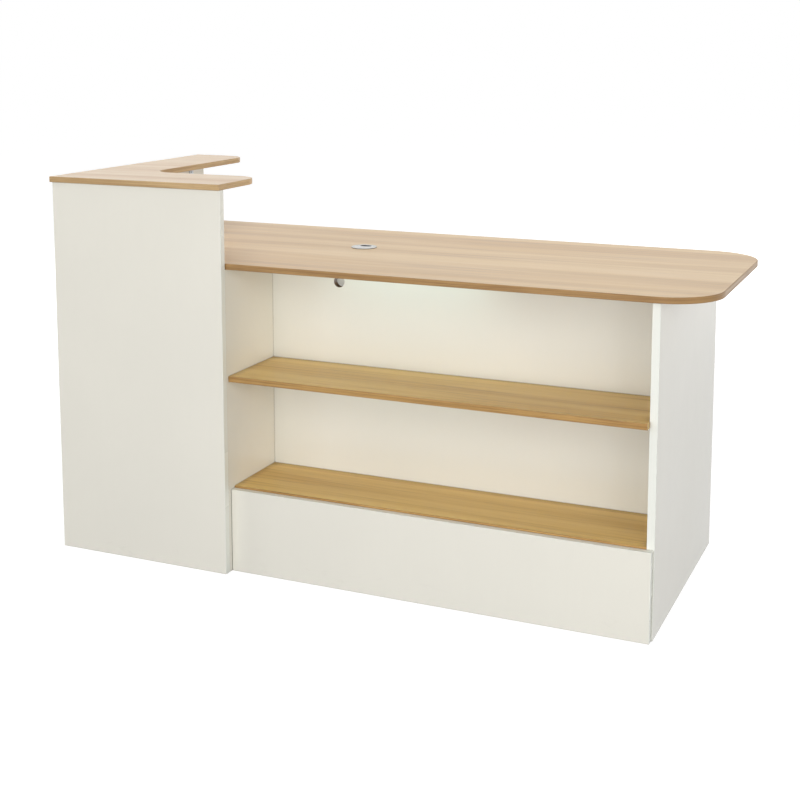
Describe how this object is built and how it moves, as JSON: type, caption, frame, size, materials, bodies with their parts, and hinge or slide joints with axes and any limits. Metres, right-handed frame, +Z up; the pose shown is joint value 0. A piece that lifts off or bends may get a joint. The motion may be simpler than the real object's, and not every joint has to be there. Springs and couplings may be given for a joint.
{
  "type": "checkout counter",
  "caption": "Retail checkout counter: tall white tower with an L-shaped raised wood top, beside a lower wood cash desk with rounded corners, open front shelves and a cable grommet.",
  "frame": {"origin": "on the floor, under the middle of the whole counter's box", "axes": "+X along the counter from the tall tower to the free end of the desk, +Y from the customer's side to the cashier's side, +Z up"},
  "size_m": [1.716, 0.722, 1],
  "materials": {
    "white_panel": "white melamine, satin",
    "white_edging": "white edging, satin",
    "oak_laminate": "light oak laminate, satin",
    "wood_edging": "brown wood-grain edging, satin",
    "grommet_silver": "silver-grey, satin",
    "zinc_steel": "zinc plated",
    "cam_zinc": "die-cast zinc, dull",
    "beech_dowel": "bare beech"
  },
  "bodies": {
    "counter": {"tall_front_panel": "white_panel", "left_side_panel": "white_panel", "partition_panel": "white_panel", "right_side_panel": "white_panel", "divider_panel": "white_panel", "kick_panel": "white_panel", "tall_front_edge_bands": "white_edging", "left_side_edge_band": "white_edging", "partition_edge_band": "white_edging", "right_side_edge_bands": "white_edging", "kick_edge_bands": "white_edging", "raised_top_board": "oak_laminate", "desktop_board": "oak_laminate", "middle_shelf_board": "oak_laminate", "bottom_shelf_board": "oak_laminate", "raised_top_edge_band": "wood_edging", "desktop_edge_band": "wood_edging", "middle_shelf_edge_band": "wood_edging", "bottom_shelf_edge_band": "wood_edging", "grommet_sleeve": "grommet_silver", "corner_brackets": "zinc_steel", "bracket_screws": "zinc_steel", "cam_bolts": "zinc_steel", "cam_locks": "cam_zinc", "dowels": "beech_dowel"},
    "grommet_cap": {"grommet_cap": "grommet_silver"}
  },
  "joints": [
    {"name": "grommet_cap_turn", "type": "hinge", "parent": "counter", "child": "grommet_cap", "pos_m": [-0.146, 0.045, 0.799], "axis": [0, 0, 1], "continuous": true}
  ]
}
